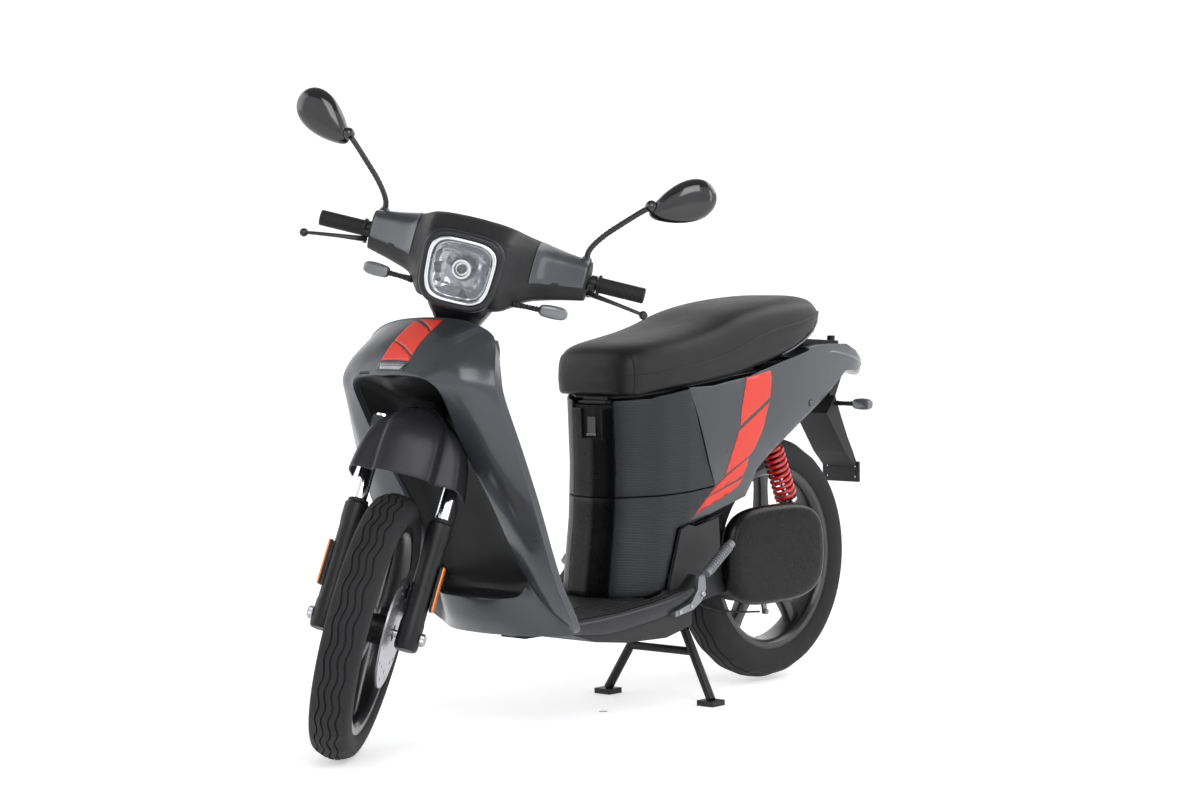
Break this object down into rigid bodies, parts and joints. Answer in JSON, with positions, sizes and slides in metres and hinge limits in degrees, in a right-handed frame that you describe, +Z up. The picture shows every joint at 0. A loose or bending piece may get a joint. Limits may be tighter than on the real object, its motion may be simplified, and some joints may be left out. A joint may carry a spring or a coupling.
{
  "type": "moped scooter",
  "caption": "Electric moped scooter with large wheels, step-through floor, hinged seat, sprung fork and swingarm, full steering, mirrors, brake levers and a centre stand.",
  "frame": {"origin": "bottom centre of the overall box at rest, on the floor", "axes": "+Z up, -Y forward, +X the rider's left"},
  "size_m": [0.7204, 1.8678, 1.3226],
  "materials": {
    "amber": "reflective",
    "battery": "moulded",
    "brushed": "brushed",
    "cast": "cast",
    "chrome": "polished",
    "chrome_p": "chrome plated",
    "gloss": "polished",
    "indicator": "clear lens",
    "leg": "black anodised",
    "lens": "clear",
    "moulding": "fine grain",
    "painted_p": "metallic satin paint",
    "red_lens": "clear red",
    "reflector": "vacuum metallised",
    "rim": "black painted",
    "rubber": "ribbed",
    "seat": "grained vinyl",
    "spring": "red coated",
    "steel": "black painted",
    "steel_al": "black painted",
    "tyre": "treaded"
  },
  "bodies": {
    "chassis": {"frame": "steel", "leg_shield": "painted_p", "shield_panel": "moulding", "inner_shield": "moulding", "column_front": "gloss", "column_cover": "moulding", "side_panels": "painted_p", "tail_cover": "moulding", "tail_lamp": "red_lens", "seat_bucket": "moulding", "battery_packs": "battery", "footboard": "moulding", "belly_pan": "moulding", "plate_holder": "moulding", "rear_rack": "steel", "rear_indicators": "indicator", "peg_brackets": "cast"},
    "seat": {"seat_base": "moulding", "seat_cushion": "seat"},
    "centre_stand": {"centre_stand": "steel"},
    "steering": {"steering_stem": "steel", "stanchions": "chrome", "front_fender": "moulding", "headlight_cowl": "moulding", "cowl_side_covers": "painted_p", "dash_cover": "moulding", "headlight_bezel": "chrome_p", "headlight_reflector": "reflector", "headlight_lens": "lens", "handlebar": "steel", "left_grip": "rubber", "front_indicators": "indicator", "mirror_arms": "steel"},
    "fork_lower": {"fork_legs": "leg", "front_axle": "brushed", "brake_caliper": "leg", "fork_reflectors": "amber", "brake_hose": "rubber"},
    "front_wheel": {"front_tyre": "tyre", "front_rim": "rim", "brake_disc": "brushed"},
    "throttle": {"throttle_grip": "rubber"},
    "brake_lever_left": {"brake_lever_left": "steel_al"},
    "brake_lever_right": {"brake_lever_right": "steel_al"},
    "mirror_head_left": {"mirror_head_left": "gloss"},
    "mirror_head_right": {"mirror_head_right": "gloss"},
    "horn_button": {"horn_button": "moulding"},
    "swingarm": {"motor_case": "leg", "belt_cover": "gloss", "rear_brake_cable": "rubber"},
    "rear_wheel": {"rear_tyre": "tyre", "rear_rim": "rim"},
    "shock_upper": {"shock_body": "leg", "shock_spring": "spring"},
    "shock_lower": {"shock_rod": "chrome"},
    "drum_brake_arm": {"drum_brake_arm": "cast"},
    "footpeg_left": {"footpeg_left": "cast"},
    "footpeg_right": {"footpeg_right": "cast"},
    "ignition_key": {"ignition_key": "brushed"},
    "bag_hook": {"bag_hook": "gloss"}
  },
  "joints": [
    {"name": "steering", "type": "hinge", "parent": "chassis", "child": "steering", "pos_m": [-0.0115, -0.47875, 0.71725], "axis": [0, 0.4067, 0.9135], "range_deg": [-74, 0]},
    {"name": "fork_slide", "type": "slide", "parent": "steering", "child": "fork_lower", "axis": [0, 0.4067, 0.9135], "range_m": [0, 0.045], "stiffness_N_per_m": 12000, "springref_m": -0.05},
    {"name": "front_wheel_spin", "type": "hinge", "parent": "fork_lower", "child": "front_wheel", "pos_m": [0.00277, -0.70368, 0.25858], "axis": [0.7986, 0.5498, -0.2448], "continuous": true},
    {"name": "throttle_twist", "type": "hinge", "parent": "steering", "child": "throttle", "pos_m": [-0.28979, -0.46531, 1.04462], "axis": [-0.7986, -0.5498, 0.2448], "range_deg": [0, 75], "stiffness_Nm_per_rad": 0.3, "springref_deg": -11.46},
    {"name": "front_brake_lever", "type": "hinge", "parent": "steering", "child": "brake_lever_right", "pos_m": [-0.2246, -0.46735, 1.01171], "axis": [-0.2448, -0.0748, -0.9667], "range_deg": [0, 12], "stiffness_Nm_per_rad": 2, "springref_deg": -11.46},
    {"name": "rear_brake_lever", "type": "hinge", "parent": "steering", "child": "brake_lever_left", "pos_m": [0.15236, -0.20785, 0.89618], "axis": [0.2448, 0.0748, 0.9667], "range_deg": [0, 12], "stiffness_Nm_per_rad": 2, "springref_deg": -11.46},
    {"name": "mirror_left_turn", "type": "hinge", "parent": "steering", "child": "mirror_head_left", "pos_m": [0.25807, -0.13548, 1.06863], "axis": [0.2448, 0.0748, 0.9667], "range_deg": [-18, 18]},
    {"name": "mirror_right_turn", "type": "hinge", "parent": "steering", "child": "mirror_head_right", "pos_m": [-0.24987, -0.48514, 1.22431], "axis": [-0.2448, -0.0748, -0.9667], "range_deg": [-18, 18]},
    {"name": "horn_press", "type": "slide", "parent": "steering", "child": "horn_button", "axis": [0.5498, -0.8319, -0.0748], "range_m": [0, 0.0025], "stiffness_N_per_m": 800, "springref_m": -0.002},
    {"name": "seat_hinge", "type": "hinge", "parent": "chassis", "child": "seat", "pos_m": [-0.0115, -0.00208, 0.6606], "axis": [1, 0, 0], "range_deg": [0, 70]},
    {"name": "stand_swing", "type": "hinge", "parent": "chassis", "child": "centre_stand", "pos_m": [-0.0115, 0.21692, 0.16559], "axis": [1, 0, 0], "range_deg": [0, 80]},
    {"name": "swingarm_pivot", "type": "hinge", "parent": "chassis", "child": "swingarm", "pos_m": [-0.0115, 0.16692, 0.2626], "axis": [1, 0, 0], "range_deg": [0, 6], "stiffness_Nm_per_rad": 900, "springref_deg": -8.59},
    {"name": "rear_wheel_spin", "type": "hinge", "parent": "swingarm", "child": "rear_wheel", "pos_m": [-0.0115, 0.57192, 0.28159], "axis": [1, 0, 0], "continuous": true},
    {"name": "shock_tilt", "type": "hinge", "parent": "chassis", "child": "shock_upper", "pos_m": [0.0885, 0.47192, 0.56559], "axis": [1, 0, 0], "range_deg": [-0.5, 2]},
    {"name": "shock_slide", "type": "slide", "parent": "shock_upper", "child": "shock_lower", "axis": [0, -0.4071, 0.9134], "range_m": [0, 0.0442], "deforming": ["shock_spring"]},
    {"name": "drum_arm_pull", "type": "hinge", "parent": "swingarm", "child": "drum_brake_arm", "pos_m": [0.0415, 0.50692, 0.20559], "axis": [-1, 0, 0], "range_deg": [0, 19]},
    {"name": "footpeg_left_fold", "type": "hinge", "parent": "chassis", "child": "footpeg_left", "pos_m": [0.1885, 0.11992, 0.29659], "axis": [0, 0.5519, -0.8339], "range_deg": [0, 90]},
    {"name": "footpeg_right_fold", "type": "hinge", "parent": "chassis", "child": "footpeg_right", "pos_m": [-0.2115, 0.11992, 0.29659], "axis": [0, -0.5519, 0.8339], "range_deg": [0, 90]},
    {"name": "key_turn", "type": "hinge", "parent": "chassis", "child": "ignition_key", "pos_m": [-0.1365, -0.44008, 0.70059], "axis": [0, 1, 0], "range_deg": [0, 90]},
    {"name": "bag_hook_fold", "type": "hinge", "parent": "chassis", "child": "bag_hook", "pos_m": [-0.0115, -0.01208, 0.59259], "axis": [1, 0, 0], "range_deg": [0, 60]}
  ],
  "couplings": [
    {"joint": "shock_tilt", "follows": "swingarm_pivot", "ratio": 0.11991},
    {"joint": "shock_slide", "follows": "swingarm_pivot", "m_per_rad": 0.40313},
    {"joint": "drum_arm_pull", "follows": "rear_brake_lever", "ratio": 1.5}
  ]
}
